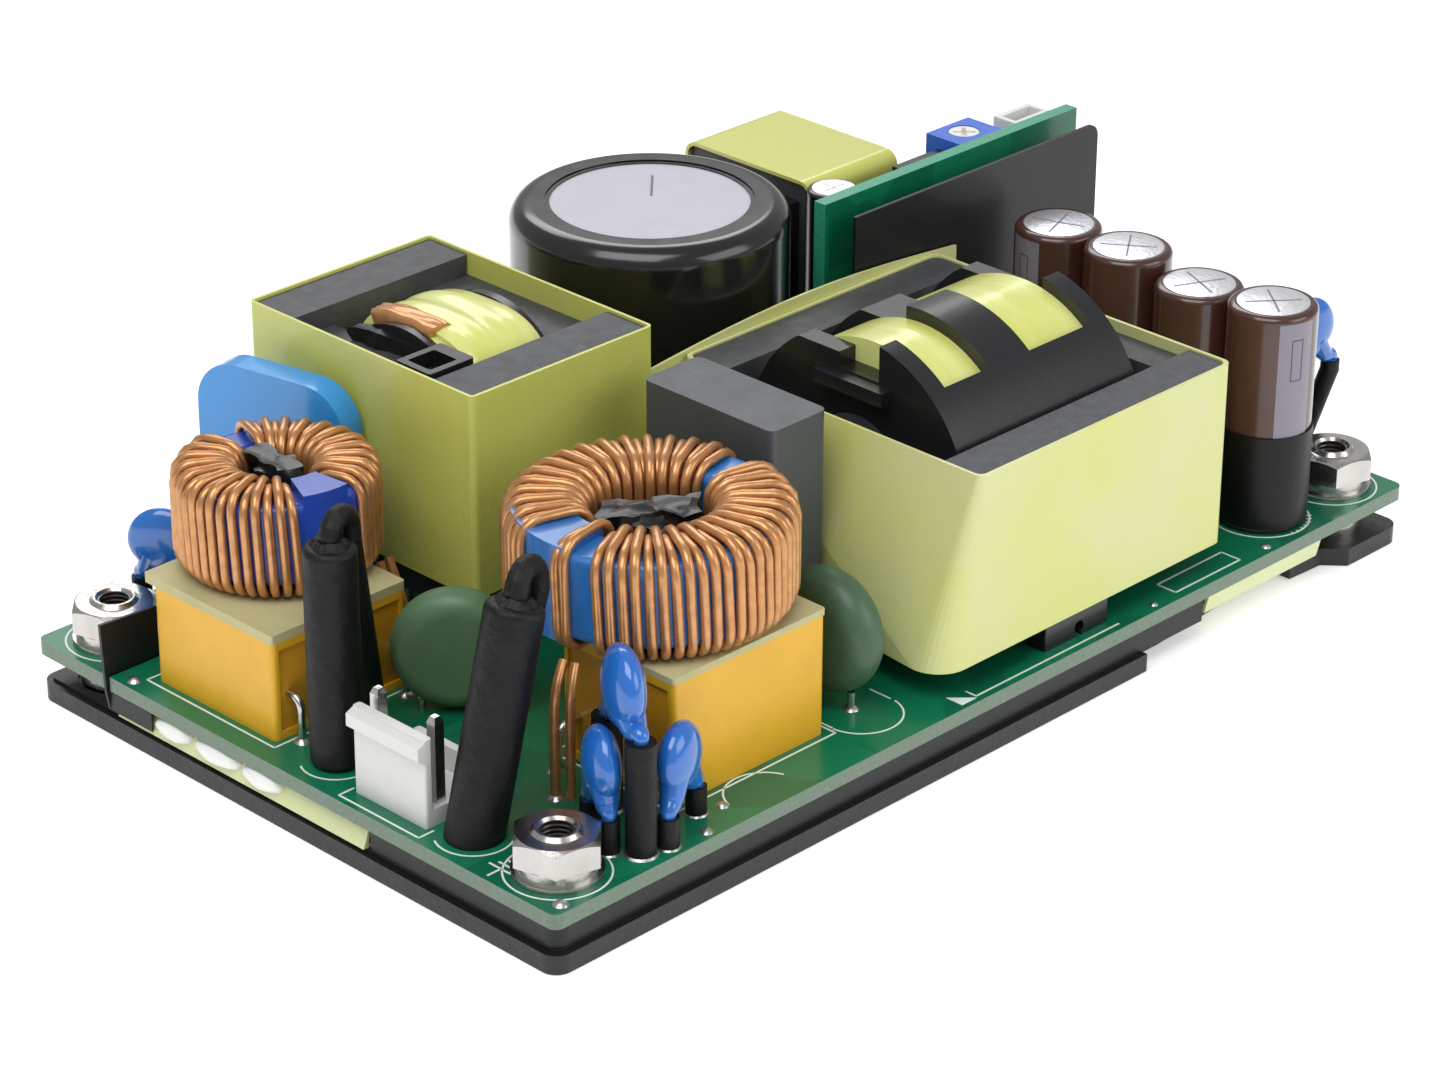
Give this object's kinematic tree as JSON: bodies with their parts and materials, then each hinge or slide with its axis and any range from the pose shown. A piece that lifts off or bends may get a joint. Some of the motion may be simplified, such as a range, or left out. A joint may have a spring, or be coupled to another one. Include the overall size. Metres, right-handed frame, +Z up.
{
  "type": "open frame power supply",
  "caption": "Open frame AC-DC power supply on a metal base plate: circuit board with chokes, transformers, capacitors, terminals and a trimmer.",
  "frame": {"origin": "middle of the base plate's underside, midway between the four mounting studs", "axes": "+X along the plate's long side from the input end to the output end, +Y across it away from the viewer, +Z up"},
  "size_m": [0.1276, 0.0762, 0.0385],
  "materials": {
    "plate_paint": "satin dark grey",
    "plated_steel": "zinc plated",
    "tinned": "bright tin",
    "terminal_plate": "tin plated",
    "board_green": "solder mask over glass laminate",
    "black_film": "matt insulating film",
    "pale_film": "translucent pale film",
    "sealant": "white silicone",
    "yellow_case": "moulded case",
    "grey_case": "moulded case",
    "pad": "foam tape",
    "blue_core": "coated core",
    "light_core": "coated core",
    "copper": "enamelled copper",
    "black_leaf": "matt",
    "shrink_sleeve": "shrunk sleeve",
    "white_plastic": "moulded nylon",
    "blue_coating": "dipped coating",
    "green_coating": "dipped coating",
    "light_blue_coating": "dipped coating",
    "ferrite": "sintered ferrite",
    "black_plastic": "moulded",
    "olive_tape": "polyester tape",
    "pale_tape": "polyester tape",
    "can_black": "shrunk sleeve on a can",
    "end_disc": "matt",
    "can_brown": "shrunk sleeve on a can",
    "trimmer_blue": "moulded",
    "trimmer_white": "moulded"
  },
  "bodies": {
    "unit": {"base_plate": "plate_paint", "mounting_studs": "plated_steel", "hex_nuts": "plated_steel", "spring_washers": "plated_steel", "flat_washers": "plated_steel", "circuit_board": "board_green", "insulation_sheet": "black_film", "pale_film": "pale_film", "sealant_beads": "sealant", "barrier_film": "black_film", "film_capacitor_left": "yellow_case", "film_capacitor_right": "yellow_case", "toroid_pads": "pad", "choke_core_left": "blue_core", "choke_core_right": "light_core", "choke_winding_left": "copper", "choke_winding_right": "copper", "choke_dividers": "black_leaf", "tinned_leads": "tinned", "fuse_left": "shrink_sleeve", "fuse_front": "shrink_sleeve", "lead_sleeves": "shrink_sleeve", "input_connector": "white_plastic", "input_pins": "tinned", "disc_capacitors_front": "blue_coating", "disc_capacitor_left": "blue_coating", "disc_capacitor_right": "blue_coating", "capacitor_sleeves": "shrink_sleeve", "surge_absorber": "green_coating", "inrush_limiter": "green_coating", "dipped_capacitor": "light_blue_coating", "boost_core": "ferrite", "boost_bobbin": "black_plastic", "boost_coil": "olive_tape", "boost_tape": "olive_tape", "boost_pins": "tinned", "bulk_capacitor": "can_black", "bulk_capacitor_disc": "end_disc", "film_capacitor_grey": "grey_case", "main_core": "ferrite", "main_bobbin": "black_plastic", "main_coils": "pale_tape", "main_tape": "pale_tape", "main_flap": "pale_tape", "main_pins": "tinned", "transformer_support": "black_plastic", "aux_core": "ferrite", "aux_bobbin": "black_plastic", "aux_tape": "olive_tape", "small_capacitor": "can_black", "daughter_board": "board_green", "black_sheet": "black_film", "trimmer_body": "trimmer_blue", "signal_connector": "white_plastic", "optocoupler": "black_plastic", "output_capacitors": "can_brown", "capacitor_jacket": "can_black", "output_terminals": "terminal_plate", "terminal_screws": "plated_steel"},
    "trimmer_screw": {"trimmer_rotor": "trimmer_white"}
  },
  "joints": [
    {"name": "trimmer_turn", "type": "hinge", "parent": "unit", "child": "trimmer_screw", "pos_m": [0.04735, 0.0127, 0.037], "axis": [0, 0, 1], "range_deg": [0, 270]}
  ]
}
